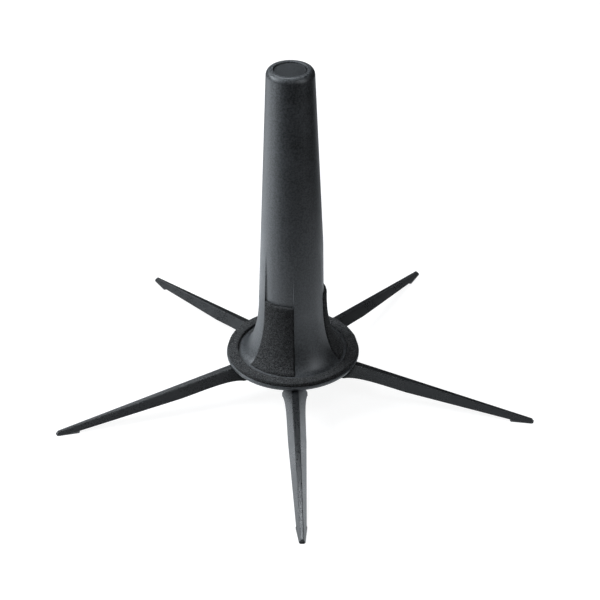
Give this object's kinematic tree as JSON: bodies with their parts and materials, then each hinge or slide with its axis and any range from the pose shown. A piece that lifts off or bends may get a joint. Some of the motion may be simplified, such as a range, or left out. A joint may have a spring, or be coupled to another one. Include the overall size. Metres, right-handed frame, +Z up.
{
  "type": "trumpet stand",
  "caption": "Folding in-bell trumpet stand: a hollow tapered peg with felt pads and a felted flange plugs over a hub with hinged spreading legs.",
  "frame": {"origin": "on the stand's axis, at the height of the floor that its feet rest on", "axes": "+Z up along the peg's axis, -Y along the front leg, +X to the right seen from the front"},
  "size_m": [0.2586, 0.2459, 0.194],
  "materials": {
    "peg_plastic": "dark grey moulded plastic with a fine grain",
    "plug_plastic": "dark grey moulded plastic, smooth",
    "leg_plastic": "black moulded plastic, satin",
    "hub_plastic": "black moulded plastic",
    "felt": "black pressed felt",
    "foot_rubber": "black rubber",
    "steel": "plain steel"
  },
  "bodies": {
    "base": {"leg_hub": "hub_plastic", "hub_cover": "hub_plastic", "cover_screw": "steel", "hinge_pin_front": "steel", "hinge_pin_right": "steel", "hinge_pin_rear_right": "steel", "hinge_pin_rear_left": "steel", "hinge_pin_left": "steel"},
    "peg": {"peg": "peg_plastic", "top_plug": "plug_plastic", "felt_ring": "felt", "felt_pad_right": "felt", "felt_pad_rear": "felt", "felt_pad_front": "felt"},
    "leg_front": {"leg_front": "leg_plastic", "foot_front": "foot_rubber"},
    "leg_right": {"leg_right": "leg_plastic", "foot_right": "foot_rubber"},
    "leg_rear_right": {"leg_rear_right": "leg_plastic", "foot_rear_right": "foot_rubber"},
    "leg_rear_left": {"leg_rear_left": "leg_plastic", "foot_rear_left": "foot_rubber"},
    "leg_left": {"leg_left": "leg_plastic", "foot_left": "foot_rubber"}
  },
  "joints": [
    {"name": "peg_lift", "type": "slide", "parent": "base", "child": "peg", "axis": [0, 0, 1], "range_m": [0, 0.15]},
    {"name": "leg_fold_front", "type": "hinge", "parent": "base", "child": "leg_front", "pos_m": [0, -0.012, 0.0175], "axis": [-1, 0, 0], "range_deg": [0, 100.5]},
    {"name": "leg_fold_right", "type": "hinge", "parent": "base", "child": "leg_right", "pos_m": [0.01141, -0.00371, 0.0175], "axis": [-0.309, -0.9511, 0], "range_deg": [0, 100.5]},
    {"name": "leg_fold_rear_right", "type": "hinge", "parent": "base", "child": "leg_rear_right", "pos_m": [0.00705, 0.00971, 0.0175], "axis": [0.809, -0.5878, 0], "range_deg": [0, 100.5]},
    {"name": "leg_fold_rear_left", "type": "hinge", "parent": "base", "child": "leg_rear_left", "pos_m": [-0.00705, 0.00971, 0.0175], "axis": [0.809, 0.5878, 0], "range_deg": [0, 100.5]},
    {"name": "leg_fold_left", "type": "hinge", "parent": "base", "child": "leg_left", "pos_m": [-0.01141, -0.00371, 0.0175], "axis": [-0.309, 0.9511, 0], "range_deg": [0, 100.5]}
  ],
  "couplings": [
    {"joint": "leg_fold_front", "follows": "peg_lift", "rad_per_m": 11.68},
    {"joint": "leg_fold_right", "follows": "peg_lift", "rad_per_m": 11.68},
    {"joint": "leg_fold_rear_right", "follows": "peg_lift", "rad_per_m": 11.68},
    {"joint": "leg_fold_rear_left", "follows": "peg_lift", "rad_per_m": 11.68},
    {"joint": "leg_fold_left", "follows": "peg_lift", "rad_per_m": 11.68}
  ]
}
